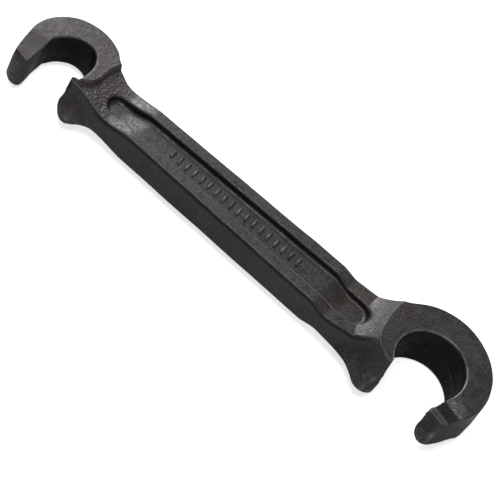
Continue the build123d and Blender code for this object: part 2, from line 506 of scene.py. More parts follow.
@dataclass
class Handle:
    """The handle and its necks: an I section with a pocket in each face."""

    half: float = 9.5
    neck_half: float = 6.3
    small_bend: Spot = (-87.0, -68.5)
    large_bend: Spot = (54.0, 65.0)
    small_root: Spot = (-90.0, -102.0)
    web: float = 5.8
    neck_web: float = 2.9
    small_web_bend: Spot = (-83.0, -67.5)
    large_web_bend: Spot = (54.0, 68.0)
    pocket_half: Spot = (7.2, 8.8)
    small_end: Spot = (-86.6, 0.4)
    small_end_radius: float = 6.4
    large_end: Spot = (74.6, 0.2)
    large_end_radius: float = 7.4

    def half_thickness(self, x: Grid, root_half: float) -> Grid:
        """Return the half-thickness along the handle and its necks.

        Args:
            x: X of each place.
            root_half: Half-thickness that the small neck grows to at the small hook.

        Returns:
            The half-thickness at each place.
        """
        beam = ease(*self.small_bend, x) * (1 - ease(*self.large_bend, x))
        root = ease(0, 1, (self.small_root[0] - x) / (self.small_root[0] - self.small_root[1]))
        return self.neck_half + (self.half - self.neck_half) * beam + (root_half - self.neck_half) * root

    def web_half(self, x: Grid) -> Grid:
        """Return the half-thickness of the web along the pocket."""
        beam = ease(*self.small_web_bend, x) * (1 - ease(*self.large_web_bend, x))
        return self.neck_web + (self.web - self.neck_web) * beam

    def pocket(self) -> Points:
        """Return the outline of the pocket at its rim.

        Returns:
            An array of X, Y rows.
        """
        (sx, sy), (lx, ly) = self.small_end, self.large_end
        return np.concatenate([
            [(-70.0, self.pocket_half[0]), (-78.0, 6.6)],
            arc((sx, sy), self.small_end_radius, 92, 268, 40),
            [(-78.0, -6.2), (-70.0, -self.pocket_half[0]), (55.0, -self.pocket_half[1]), (62.0, -7.7)],
            arc((lx, ly), self.large_end_radius, -90, 90, 40),
            [(62.0, 7.9), (55.0, self.pocket_half[1])],
        ])


@dataclass
class Plan:
    """What the forging's field needs to know about each place seen from above."""

    low: Grid
    high: Grid
    half: Grid
    under: Grid
    pocket: Grid
    large_boss: Grid
    small_boss: Grid
    floor: Grid
    flare_top: Grid
    rim: Grid
    x: Grid
    y: Grid


@dataclass
class PlanMap:
    """The plan's slower values, worked out once on a fine lattice and read back anywhere."""

    origin: Points
    step: float
    layers: Grid

    def read(self, x: Grid, y: Grid) -> Grid:
        """Return every layer at these places, blended between the four nearest samples.

        Args:
            x: X of each place.
            y: Y of each place.

        Returns:
            One array of values for each layer.
        """
        limit = np.array(self.layers.shape[1:]) - 2
        u, v = (x - self.origin[0]) / self.step, (y - self.origin[1]) / self.step
        i, j = np.clip(u.astype(int), 0, limit[0]), np.clip(v.astype(int), 0, limit[1])
        du, dv = u - i, v - j
        near_side = self.layers[:, i, j] * (1 - dv) + self.layers[:, i, j + 1] * dv
        far_side = self.layers[:, i + 1, j] * (1 - dv) + self.layers[:, i + 1, j + 1] * dv
        return near_side * (1 - du) + far_side * du


class Region(Enum):
    """The named regions of the forging, with the corners of the block that each one fills."""

    small_hook_tip = ((-160, -60), (-122.4, -60), (-122.4, -0.5), (-160, -0.5))
    small_hook_arch = ((-160, -0.5), (-114, -0.5), (-114, 60), (-160, 60))
    small_hook_boss = ((-114, -6), (-102, -6), (-102, 60), (-114, 60))
    small_heel = ((-116, -60), (-93.5, -60), (-93.5, -6), (-116, -6))
    small_neck = ((-102, -6), (-93.5, -6), (-93.5, -60), (-73, -60), (-73, 60), (-102, 60))
    handle_beam = ((-73, -60), (57, -60), (57, 60), (-73, 60))
    large_neck = ((57, -60), (79, -60), (79, -12), (89.5, -12), (89.5, 60), (57, 60))
    large_heel = ((79, -60), (112, -60), (112, -12), (79, -12))
    large_hook_boss = ((89.5, -12), (112, -12), (112, 60), (89.5, 60))
    large_hook_arch = ((112, -6), (170, -6), (170, 60), (112, 60))
    large_hook_tip = ((121, -60), (170, -60), (170, -6), (121, -6))


@dataclass
class Forging:
    """The whole forging as one solid field, and the skin made from it."""

    small: SmallHook = field(default_factory=SmallHook)
    large: LargeHook = field(default_factory=LargeHook)
    handle: Handle = field(default_factory=Handle)
    draft: float = math.tan(math.radians(2.0))
    ridge_z: float = -6.0
    flare_top: Levels = (
        (-134, 4.4), (-128, 4.4), (-116, 8.2), (-100, 7.6), (-88, 6.3), (-73, 9.5),
        (57, 9.5), (79, 6.3), (90, 9.5), (100, 14.0), (112, 14.5), (130, 6.6),
    )
    rim: Levels = (
        (-126, 0.8), (-112, 1.2), (-104, 1.4), (-94, 1.6), (-73, 1.8),
        (57, 1.8), (66, 1.8), (86, 1.6), (92, 1.0), (112, 0.8),
    )
    pocket_slope: float = 0.32
    pocket_corner: float = 1.5
    pocket_lip: float = 1.3
    step: float = 0.5
    map_step: float = 0.25
    settling: int = 2
    least_slope: float = 0.2
    longest_move: float = 0.35
    unevenness: float = 0.10
    scale_depth: float = 0.05
    scale_start: Spot = (-84.0, -92.0)
    scale_end: Spot = (-110.0, -106.0)
    scale_fade: Spot = (0.0, -1.5)
    scale_drop: float = 0.3
    low_corner: tuple[float, float, float] = (-149.87, -28.93, -15.89)
    high_corner: tuple[float, float, float] = (157.0, 36.5, 16.0)

    def outline(self, at_parting: bool) -> Points:
        """Return the closed outline, at the ridge of the heels or at the top of the walls.

        Args:
            at_parting: Whether the line is at the parting plane, or else at the top of the walls.

        Returns:
            An array of X, Y rows.
        """
        return np.concatenate([
            self.small.outer_edge(), self.small.finger(at_parting), self.small.seat_edge(),
            self.small.heel(at_parting), self.large.heel(at_parting), self.large.seat_edge(),
            self.large.tip(at_parting), self.large.outer_edge(),
        ])

    def __post_init__(self) -> None:
        """Work out the plan map."""
        low, high = np.array(self.low_corner[:2]), np.array(self.high_corner[:2])
        x, y = np.meshgrid(*(np.arange(a, b, self.map_step) for a, b in zip(low, high)), indexing="ij")
        rings = (self.outline(True), self.outline(False), self.handle.pocket(),
                 self.large.boss_edge(), self.small.boss_edge())
        self.map = PlanMap(low, self.map_step, np.stack([outline_distance(x, y, ring) for ring in rings]))

    def plan(self, x: Grid, y: Grid) -> Plan:
        """Return everything that depends only on the place seen from above.

        Args:
            x: X of each place.
            y: Y of each place.

        Returns:
            The values at each place.
        """
        low, high, pocket, large_boss, small_boss = self.map.read(x, y)
        half = self.handle.half_thickness(x, self.small.root_half)
        half = self.large.raised(x, y, self.small.raised(x, y, half, small_boss), large_boss)
        under = self.large.underside(x, y, self.small.underside(x, half))
        return Plan(
            low=low, high=high, half=half, under=under, pocket=pocket,
            large_boss=large_boss, small_boss=small_boss, floor=self.handle.web_half(x),
            flare_top=at_levels(self.flare_top, x), rim=at_levels(self.rim, x), x=x, y=y,
        )

    def walls(self, plan: Plan, z: Grid) -> Grid:
        """Return the field of the drafted walls, which flare out towards the ridge of each heel.

        Args:
            plan: What is known of each place seen from above.
            z: Height of each place above the parting plane.

        Returns:
            The field at each place, negative inside.
        """
        share = np.clip((z - self.ridge_z) / (plan.flare_top - self.ridge_z), 0, 1)
        share = share * (2 - share)
        return plan.low + (plan.high - plan.low) * share + np.abs(z) * self.draft

    def tops(self, plan: Plan, z: Grid) -> Grid:
        """Return the field of the upper and lower faces."""
        return np.abs(z) - np.where(z > 0, plan.half, plan.under)

    def smooth_value(self, plan: Plan, z: Grid) -> Grid:
        """Return the solid field without its forged unevenness, negative inside.

        Args:
            plan: What is known of each place seen from above.
            z: Height of each place above the parting plane.

        Returns:
            The field at each place.
        """
        height = np.abs(z)
        body = blend_max(self.walls(plan, z), self.tops(plan, z), plan.rim)
        sides = plan.pocket + (plan.half - height) * self.pocket_slope
        recess = blend_max(sides, plan.floor - height, self.pocket_corner)
        return blend_max(body, -recess, self.pocket_lip)

    def value(self, plan: Plan, z: Grid) -> Grid:
        """Return the solid field with its unevenness, dent and flash line, negative inside.

        Args:
            plan: What is known of each place seen from above.
            z: Height of each place above the parting plane.

        Returns:
            The field at each place.
        """
        x, y = plan.x, plan.y
        worn_and_highlighted = ripple(x, y, z, shortest=7.0, longest=30.0, waves=12, seed=3) * 0.5 + 0.5
        rough = self.scaly(plan) * (0.5 + 0.5 * ripple(x, y, z, shortest=1.6, longest=4.2, waves=16, seed=8))
        body = self.smooth_value(plan, z) + self.unevenness * worn_and_highlighted + self.scale_depth * rough
        return body + self.large.dent(x, y, z) - self.large.flash(x, y, z)

    def scaly(self, plan: Plan) -> Grid:
        """Return where rough forging scale stays on the skin, 0 to 1."""
        beside = ease(*self.scale_start, plan.x) * ease(*self.scale_end, plan.x)
        return beside * ease(*self.scale_fade, plan.half - self.small.half + self.scale_drop)

    def slope(self, points: Points, reach: float = 0.2) -> tuple[Grid, Points]:
        """Return the field and its gradient at points.

        Args:
            points: Places as X, Y, Z rows.
            reach: Half the distance between the samples that the gradient comes from.

        Returns:
            The field at each point, and the gradient as X, Y, Z rows.
        """
        x, y, z = points.T
        here = self.plan(x, y)
        across = [self.value(self.plan(x + side, y), z) for side in (reach, -reach)]
        along = [self.value(self.plan(x, y + side), z) for side in (reach, -reach)]
        upward = [self.value(here, z + side) for side in (reach, -reach)]
        rise = np.stack([a - b for a, b in (across, along, upward)], 1)
        return self.value(here, z), rise / (2 * reach)

    def skin(self) -> tuple[Points, Points]:
        """Return the vertices and faces of the whole skin.

        Returns:
            X, Y, Z rows, and the four corners of each face.
        """
        low, high = np.array(self.low_corner), np.array(self.high_corner)
        x, y, z = (np.arange(a, b, self.step) for a, b in zip(low, high))
        gx, gy = np.meshgrid(x, y, indexing="ij")
        plan = self.plan(gx, gy)
        values = np.stack([self.smooth_value(plan, np.full_like(gx, level)) for level in z], 2)
        points, faces = skin_of(values, low, self.step)
        for _ in range(self.settling):
            value, slope = self.slope(points)
            steep = np.maximum((slope**2).sum(1), self.least_slope)
            move = slope * (value / steep)[:, None]
            points -= np.clip(move, -self.longest_move, self.longest_move)
        return points, faces


@dataclass(frozen=True)
class SkinSpans:
    """The distances in millimetres over which each mask on the skin fades, and how strong each is."""

    edge_width: float = 1.1
    edge_depth: float = 1.2
    # The edge and seat shares set how brightly edges are rubbed: partly real wear, partly a painted
    # highlight, strongest round the large seat.
    edge_share: float = 0.12
    large_seat_share: float = 0.88
    small_seat_share: float = 0.3
    # The crease share and the spans from here to before_large_neck place painted shade in the seats, along
    # the pocket and in a line under the lower rib.
    crease_share: float = 0.8
    below_seat_rim: Spot = (-0.7, -1.6)
    below_pocket_rim: Spot = (-0.5, -1.3)
    into_pocket: Spot = (-1.6, -0.8)
    out_of_pocket: Spot = (3.4, 1.2)
    above_pocket_floor: Spot = (0.6, 1.4)
    crease_top: Spot = (-3.0, -2.0)
    crease_bottom: Spot = (-0.3, -1.0)
    crease_wall: Spot = (-1.2, -0.5)
    lower_side: Spot = (-4.0, -8.0)
    past_small_neck: Spot = (-98.0, -90.0)
    before_large_neck: Spot = (92.0, 84.0)
    boss_rim: Spot = (0.8, -0.4)
    near_top: Spot = (-1.2, -0.2)
    in_from_wall: Spot = (-0.4, -1.6)


@dataclass
class ForgingPieces:
    """Builds one closed piece for each region of the forging, in the row frame."""

    forging: Forging
    shift: Vector
    material: bpy.types.Material
    whole: bpy.types.Object | None = None
    block_half: float = 30.0
    cut_facing: float = 0.3
    spans: SkinSpans = SkinSpans()

    def build(self) -> list[bpy.types.Object]:
        """Build, divide and dress the forging.

        Returns:
            The pieces, one for each region.
        """
        points, faces = self.forging.skin()
        LOG.info("whole skin: %d vertices", len(points))
        self.whole = self.mesh_object("forging_whole", points, faces)
        made = [self.piece(region) for region in Region]
        bpy.data.objects.remove(self.whole)
        return made

    def mesh_object(self, name: str, points: Points, faces: Points) -> bpy.types.Object:
        """Return an object with these vertices and faces, still in the forging's millimetres.

        Args:
            name: Name of the object and its mesh.
            points: Vertices as X, Y, Z rows.
            faces: Corners of each face as rows of vertex numbers.

        Returns:
            The object.
        """
        mesh = bpy.data.meshes.new(name)
        mesh.vertices.add(len(points))
        mesh.vertices.foreach_set("co", points.astype(np.float32).ravel())
        mesh.loops.add(faces.size)
        mesh.loops.foreach_set("vertex_index", faces.astype(np.int32).ravel())
        mesh.polygons.add(len(faces))
        mesh.polygons.foreach_set("loop_start", np.arange(0, faces.size, faces.shape[1], dtype=np.int32))
        mesh.update(calc_edges=True)
        return linked(name, mesh)

    def block(self, region: Region) -> bpy.types.Object:
        """Return the block that a region fills.

        Args:
            region: The region.

        Returns:
            The block, which reaches well past both faces of the forging.
        """
        shape = bmesh.new()
        base = shape.faces.new([shape.verts.new((x, y, -self.block_half)) for x, y in region.value])
        extruded = bmesh.ops.extrude_face_region(shape, geom=[base])["geom"]
        raised = [v for v in extruded if isinstance(v, bmesh.types.BMVert)]
        bmesh.ops.translate(shape, vec=(0, 0, 2 * self.block_half), verts=raised)
        bmesh.ops.recalc_face_normals(shape, faces=shape.faces)
        return linked("block", mesh_of(shape, "block"))

    def piece(self, region: Region) -> bpy.types.Object:
        """Return one region cut from the whole skin, placed and dressed.

        Args:
            region: The region.

        Returns:
            The piece.
        """
        made = self.whole.copy()
        made.data = self.whole.data.copy()
        made.name = made.data.name = region.name + "_skin"
        bpy.context.scene.collection.objects.link(made)
        block = self.block(region)
        cut = made.modifiers.new("cut", "BOOLEAN")
        cut.operation, cut.object, cut.solver = "INTERSECT", block, "MANIFOLD"
        graph = bpy.context.evaluated_depsgraph_get()
        mesh = bpy.data.meshes.new_from_object(made.evaluated_get(graph))
        made.modifiers.clear()
        made.data = mesh
        bpy.data.objects.remove(block)
        mesh.name = made.name
        self.finish_mesh(mesh)
        mesh.transform(Matrix.Translation(self.shift) @ Matrix.Scale(MM, 4))
        mesh.materials.clear()
        mesh.materials.append(self.material)
        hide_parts(region.name)
        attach(made, BODY)
        return made

    def finish_mesh(self, mesh: bpy.types.Mesh) -> None:
        """Give a piece its exact normals and the masks that its finish reads.

        Args:
            mesh: The piece's mesh, still in the forging's millimetres.
        """
        points = np.zeros(len(mesh.vertices) * 3, np.float32)
        mesh.vertices.foreach_get("co", points)
        points = points.reshape(-1, 3).astype(float)
        _, slope = self.forging.slope(points)
        normals = slope / np.linalg.norm(slope, axis=1)[:, None]
        corners = np.zeros(len(mesh.loops), np.int32)
        mesh.loops.foreach_get("vertex_index", corners)
        sizes = np.zeros(len(mesh.polygons), np.int32)
        mesh.polygons.foreach_get("loop_total", sizes)
        face_normals = np.zeros(len(mesh.polygons) * 3, np.float32)
        mesh.polygons.foreach_get("normal", face_normals)
        spread = np.repeat(face_normals.reshape(-1, 3), sizes, axis=0)
        smooth = normals[corners]
        flat = (smooth * spread).sum(1) < self.cut_facing
        smooth[flat] = spread[flat]
        mesh.polygons.foreach_set("use_smooth", np.ones(len(mesh.polygons), bool))
        mesh.normals_split_custom_set(smooth.astype(np.float32))
        for name, values in self.masks(points).items():
            layer = mesh.attributes.new(name, "FLOAT", "POINT")
            layer.data.foreach_set("value", values.astype(np.float32))

    def painted_shade(self, plan: Plan, z: Grid, walls: Grid, tops: Grid) -> Grid:
        """Return where painted shade darkens the walls: in the seats, along the pocket and in a line under
        the lower rib.

        Args:
            plan: What is known of each place seen from above.
            z: Height of each place above the parting plane.
            walls: Field of the walls at each place.
            tops: Field of the upper and lower faces at each place.

        Returns:
            The mask at each place, 0 to 1.
        """
        span, x, y = self.spans, plan.x, plan.y
        in_seat = np.maximum(self.forging.large.in_seat(x, y), self.forging.small.in_seat(x, y))
        by_pocket = ease(*span.into_pocket, plan.pocket) * ease(*span.out_of_pocket, plan.pocket)
        by_pocket = by_pocket * ease(*span.above_pocket_floor, np.abs(z) - plan.floor)
        # A thin line of painted shade just under the lower rib's upper edge.
        crease = ease(*span.crease_top, tops) * ease(*span.crease_bottom, tops)
        crease = crease * ease(*span.crease_wall, walls) * ease(*span.lower_side, y)
        crease = crease * ease(*span.past_small_neck, x) * ease(*span.before_large_neck, x) * (z > 0)
        in_seat = in_seat * ease(*span.below_seat_rim, tops)
        by_pocket = by_pocket * ease(*span.below_pocket_rim, tops)
        return np.maximum(np.maximum(in_seat, by_pocket), span.crease_share * crease)

    def masks(self, points: Points) -> dict[str, Grid]:
        """Return how worn and scaly the skin is, where edges carry a painted highlight, where painted shade
        falls, and where the bosses' flat tops are.

        Args:
            points: Places as X, Y, Z rows.

        Returns:
            The masks by name, each 0 to 1 at each point.
        """
        x, y, z = points.T
        span = self.spans
        plan = self.forging.plan(x, y)
        walls, tops = self.forging.walls(plan, z), self.forging.tops(plan, z)
        edge = np.clip(1 - np.abs(walls - tops) / span.edge_width, 0, 1)
        edge = edge * (np.maximum(walls, tops) > -span.edge_depth)
        in_large, in_small = self.forging.large.in_seat(x, y), self.forging.small.in_seat(x, y)
        flat_top = ease(*span.near_top, tops) * ease(*span.in_from_wall, walls)
        return {
            # Rubbed edges: partly real wear, partly a painted highlight.
            "edge_wear_and_highlight": edge * (span.edge_share + span.large_seat_share * in_large
                                 + span.small_seat_share * in_small),
            # Painted shade in the seats, along the pocket and under the lower rib.
            "painted_shade": self.painted_shade(plan, z, walls, tops),
            "scale": self.forging.scaly(plan) * flat_top,
            "large_face": ease(*span.boss_rim, plan.large_boss) * flat_top,
            "small_face": ease(*span.boss_rim, plan.small_boss) * flat_top,
        }


# ---------------------------------------------------------------- finishes


class NodeBuilder:
    """Places nodes in a tree and joins them."""

    def __init__(self, tree: bpy.types.NodeTree) -> None:
        """Keep the tree."""
        self.tree = tree

    def add(self, kind: str, settings: dict | None = None, **inputs: object) -> bpy.types.Node:
        """Add a node.

        Args:
            kind: Blender's name for the node's type.
            settings: Values of the node's own properties.
            inputs: A value, or a socket to join, for each input, spaces written as underscores.

        Returns:
            The node.
        """
        node = self.tree.nodes.new(kind)
        for name, value in (settings or {}).items():
            setattr(node, name, value)
        for name, value in inputs.items():
            self.put(node.inputs[name.replace("_", " ")], value)
        return node

    def put(self, socket: Socket, value: object) -> None:
        """Join a socket to an input, or set the input's value.

        Args:
            socket: The input.
            value: A socket to join to it, or a value for it.
        """
        if isinstance(value, Socket):
            self.tree.links.new(value, socket)
        else:
            socket.default_value = value

    def maths(self, operation: str, a: object, b: object = 0.0, clamp: bool = False) -> Socket:
        """Return the result of one sum.

        Args:
            operation: Blender's name for the sum.
            a: First value or socket.
            b: Second value or socket.
            clamp: Whether to hold the result between 0 and 1.

        Returns:
            The result's socket.
        """
        node = self.tree.nodes.new("ShaderNodeMath")
        node.operation, node.use_clamp = operation, clamp
        self.put(node.inputs[0], a)
        self.put(node.inputs[1], b)
        return node.outputs[0]

    def ramp(self, value: object, low: float, high: float, to_low: float = 0.0,
             to_high: float = 1.0) -> Socket:
        """Return a value moved from one range to another, held at both ends.

        Args:
            value: The value's socket.
            low: Start of the first range.
            high: End of the first range.
            to_low: Start of the second range.
            to_high: End of the second range.

        Returns:
            The result's socket.
        """
        node = self.add("ShaderNodeMapRange", {"clamp": True}, Value=value, From_Min=low, From_Max=high,
                        To_Min=to_low, To_Max=to_high)
        return node.outputs["Result"]

    def mix(self, share: object, a: object, b: object) -> Socket:
        """Return a blend of two colours.

        Args:
            share: How much of the second colour shows.
            a: First colour or its socket.
            b: Second colour or its socket.

        Returns:
            The result's socket.
        """
        node = self.tree.nodes.new("ShaderNodeMix")
        node.data_type = "RGBA"
        for socket, value in zip((node.inputs[0], node.inputs[6], node.inputs[7]), (share, a, b)):
            self.put(socket, value)
        return node.outputs[2]

    def noise(self, place: Socket, scale: object, detail: float, roughness: float) -> Socket:
        """Return soft noise between 0 and 1."""
        node = self.add("ShaderNodeTexNoise", Vector=place, Scale=scale, Detail=detail, Roughness=roughness)
        return node.outputs["Fac"]


@dataclass(frozen=True)
class Patch:
    """Soft patches: the noise that they come from, the part of its range that shows, and how much."""

    scale: float
    detail: float
    low: float
    high: float
    least: float = 0.0
    most: float = 1.0
    roughness: float = 0.55

    def mask(self, build: NodeBuilder, place: Socket) -> Socket:
        """Return the patches as a mask."""
        noise = build.noise(place, self.scale, self.detail, self.roughness)
        return build.ramp(noise, self.low, self.high, self.least, self.most)


def shader_group(
    name: str, inputs: dict[str, float], outputs: list[str],
) -> tuple[NodeBuilder, bpy.types.Node, bpy.types.Node]:
    """Start a shader node group.

    Args:
        name: Name of the group.
        inputs: Name and usual value of each number that goes in.
        outputs: Name of each number that comes out.

    Returns:
        A builder for the group, its input node and its output node.
    """
    tree = bpy.data.node_groups.new(name, "ShaderNodeTree")
    tree.interface.new_socket("Place", in_out="INPUT", socket_type="NodeSocketVector")
    for label, value in inputs.items():
        tree.interface.new_socket(label, in_out="INPUT", socket_type="NodeSocketFloat").default_value = value
    for label in outputs:
        tree.interface.new_socket(label, in_out="OUTPUT", socket_type="NodeSocketFloat")
    return NodeBuilder(tree), tree.nodes.new("NodeGroupInput"), tree.nodes.new("NodeGroupOutput")


@dataclass(frozen=True)
class ForgedGrain:
    """Forged grain as a height, with pits as a mask and flakes where scale stays on."""

    name: str = "forged_grain"
    fine: float = 900.0
    coarse: float = 180.0
    flakes: float = 620.0
    pits: Patch = Patch(420.0, 2.0, 0.66, 0.76)
    fine_height: float = 0.35
    flake_height: float = 2.0
    pit_depth: float = 0.35

    def group(self) -> bpy.types.NodeTree:
        """Return the shader node group.

        Returns:
            The group's tree.
        """
        usual = {"Fine": self.fine, "Coarse": self.coarse, "Scale Mask": 0.0}
        build, source, out = shader_group(self.name, usual, ["Height", "Pits"])
        place, mask = source.outputs["Place"], source.outputs["Scale Mask"]
        fine = build.noise(place, source.outputs["Fine"], 2.0, 0.6)
        coarse = build.noise(place, source.outputs["Coarse"], 3.0, 0.55)
        flakes = build.add("ShaderNodeTexVoronoi", {"feature": "F1"}, Vector=place, Scale=self.flakes)
        pits = self.pits.mask(build, place)
        scaled = build.maths("MULTIPLY", flakes.outputs["Distance"], mask)
        height = build.maths("ADD", build.maths("MULTIPLY", fine, self.fine_height), coarse)
        height = build.maths("ADD", height, build.maths("MULTIPLY", scaled, self.flake_height))
        height = build.maths("SUBTRACT", height, build.maths("MULTIPLY", pits, self.pit_depth))
        build.put(out.inputs["Height"], height)
        build.put(out.inputs["Pits"], pits)
        return build.tree


@dataclass(frozen=True)
class EdgeWearAndHighlight:
    """An edge mask broken up into rubbed patches with scratches in them: partly real wear, partly a painted
    highlight.
    """

    name: str = "edge_wear_and_highlight"
    amount: float = 0.6
    patches: Patch = Patch(95.0, 4.0, 0.38, 0.66, roughness=0.6)
    scratches: Patch = Patch(700.0, 2.0, 0.35, 0.7, 0.5, 1.0, roughness=0.6)

    def group(self) -> bpy.types.NodeTree:
        """Return the shader node group.

        Returns:
            The group's tree.
        """
        build, source, out = shader_group(self.name, {"Edge": 0.0, "Amount": self.amount}, ["Worn"])
        place = source.outputs["Place"]
        broken = build.maths("MULTIPLY", self.patches.mask(build, place), self.scratches.mask(build, place))
        worn_and_highlighted = build.maths("MULTIPLY", source.outputs["Edge"], broken)
        build.put(out.inputs["Worn"], build.maths("MULTIPLY", worn_and_highlighted, source.outputs["Amount"], True))
        return build.tree


@dataclass(frozen=True)
class ForgedSteelFinish:
    """Black oxide over forged steel: satin, mottled, rubbed brighter along its edges as wear and as a painted
    highlight, and darkened with painted shade in the seats, along the pocket and under the lower rib.
    """

    name: str = "black_forged_steel"
    dark: Colour = (0.0086, 0.0078, 0.0072, 1.0)
    light: Colour = (0.0205, 0.0182, 0.0168, 1.0)
    brown: Colour = (0.029, 0.022, 0.019, 1.0)
    # The next colour is bare steel on worn edges, which also serves as a painted highlight.
    rubbed_and_highlight: Colour = (0.34, 0.33, 0.32, 1.0)
    # shaded is the painted shade's colour.
    shaded: Colour = (0.003, 0.003, 0.003, 1.0)
    speck: Colour = (0.066, 0.057, 0.051, 1.0)
    mottle: Patch = Patch(42.0, 4.0, 0.35, 0.66)
    browning: Patch = Patch(26.0, 3.0, 0.52, 0.7, most=0.55)
    specks: Patch = Patch(1100.0, 3.0, 0.5, 0.7, most=0.75, roughness=0.7)
    large_face_dark: float = 0.45
    small_face_brown: float = 0.5
    # How strongly the painted shade darkens the colour.
    painted_shade_share: float = 0.8
    satin: Patch = Patch(130.0, 4.0, 0.3, 0.7, 0.36, 0.56)
    fine_satin: Patch = Patch(800.0, 2.0, 0.35, 0.65, -0.13, 0.13, roughness=0.6)
    pit_rough: float = 0.12
    worn_polish: float = 0.15
    worn_metal: float = 0.7
    wear_and_highlight: float = 0.9
    grain_coarse: float = 320.0
    bump: float = 0.9
    bump_depth: float = 0.00026
    ior: float = 1.5
    # Specular level outside and inside the painted shade, which dims reflections there as well.
    gloss: Spot = (0.5, 0.16)

    def material(self) -> bpy.types.Material:
        """Return the material, built from nodes.

        Returns:
            The material.
        """
        made = bpy.data.materials.new(self.name)
        made.use_nodes = True
        made.node_tree.nodes.clear()
        build = NodeBuilder(made.node_tree)
        place = build.add("ShaderNodeTexCoord").outputs["Object"]
        masks = {n: build.add("ShaderNodeAttribute", {"attribute_name": n}).outputs["Fac"]
                 for n in ("edge_wear_and_highlight", "painted_shade", "scale", "large_face", "small_face")}
        grain = self.placed_group(build, ForgedGrain.name, place, {"Scale Mask": masks["scale"]})
        grain.inputs["Coarse"].default_value = self.grain_coarse
        wear_and_highlight = self.placed_group(build, EdgeWearAndHighlight.name, place, {"Edge": masks["edge_wear_and_highlight"]})
        wear_and_highlight.inputs["Amount"].default_value = self.wear_and_highlight
        worn_and_highlighted = wear_and_highlight.outputs["Worn"]
        bump = build.add("ShaderNodeBump", Strength=self.bump, Distance=self.bump_depth,
                         Height=grain.outputs["Height"])
        shader = build.add("ShaderNodeBsdfPrincipled", Base_Color=self.colour(build, place, masks, worn_and_highlighted),
                           Roughness=self.roughness(build, place, grain.outputs["Pits"], worn_and_highlighted),
                           Normal=bump.outputs["Normal"])
        shader.inputs["IOR"].default_value = self.ior
        # The painted shade also lowers the specular level.
        level = build.ramp(masks["painted_shade"], 0.0, 1.0, *self.gloss)
        build.put(shader.inputs["Specular IOR Level"], level)
        build.put(shader.inputs["Metallic"], build.maths("MULTIPLY", worn_and_highlighted, self.worn_metal))
        build.add("ShaderNodeOutputMaterial", Surface=shader.outputs[0])
        return made

    def placed_group(self, build: NodeBuilder, name: str, place: Socket,
                     joined: dict[str, Socket]) -> bpy.types.Node:
        """Place a shader node group in the material and join its inputs.

        Args:
            build: Builder of the material's tree.
            name: Name of the group.
            place: Coordinates that the group's patterns lie in.
            joined: The socket that feeds each other input.

        Returns:
            The group's node.
        """
        node = build.tree.nodes.new("ShaderNodeGroup")
        node.node_tree = bpy.data.node_groups[name]
        for label, socket in {"Place": place, **joined}.items():
            build.put(node.inputs[label], socket)
        return node

    def colour(self, build: NodeBuilder, place: Socket, masks: dict[str, Socket], worn_and_highlighted: Socket) -> Socket:
        """Return the colour: mottled black, browned, specked, darkened with painted shade, and rubbed bright
        as wear and painted highlight.

        Args:
            build: Builder of the material's tree.
            place: Coordinates that the patterns lie in.
            masks: The skin's masks by name.
            worn_and_highlighted: Where the finish is rubbed through, and where edges carry a painted
                highlight.

        Returns:
            The colour's socket.
        """
        colour = build.mix(self.mottle.mask(build, place), self.dark, self.light)
        colour = build.mix(self.browning.mask(build, place), colour, self.brown)
        colour = build.mix(self.specks.mask(build, place), colour, self.speck)
        # The large face turns darker and the small face browner, then painted shade darkens the seats, the
        # pocket and the line under the lower rib.
        for name, share, tint in (("large_face", self.large_face_dark, self.dark),
                                  ("small_face", self.small_face_brown, self.brown),
                                  ("painted_shade", self.painted_shade_share, self.shaded)):
            colour = build.mix(build.maths("MULTIPLY", masks[name], share), colour, tint)
        # Edges rubbed bright: real wear and a painted highlight.
        return build.mix(worn_and_highlighted, colour, self.rubbed_and_highlight)

    def roughness(self, build: NodeBuilder, place: Socket, pits: Socket, worn_and_highlighted: Socket) -> Socket:
        """Return the roughness: satin in two sizes of patch, rough in pits, smoother where rubbed.

        Args:
            build: Builder of the material's tree.
            place: Coordinates that the patterns lie in.
            pits: Where the pits are.
            worn_and_highlighted: Where the finish is rubbed through, and where edges carry a painted
                highlight.

        Returns:
            The roughness's socket.
        """
        rough = build.maths("ADD", self.satin.mask(build, place), self.fine_satin.mask(build, place))
        rough = build.maths("ADD", rough, build.maths("MULTIPLY", pits, self.pit_rough))
        return build.maths("SUBTRACT", rough, build.maths("MULTIPLY", worn_and_highlighted, self.worn_polish), True)


# ---------------------------------------------------------------- raised marks


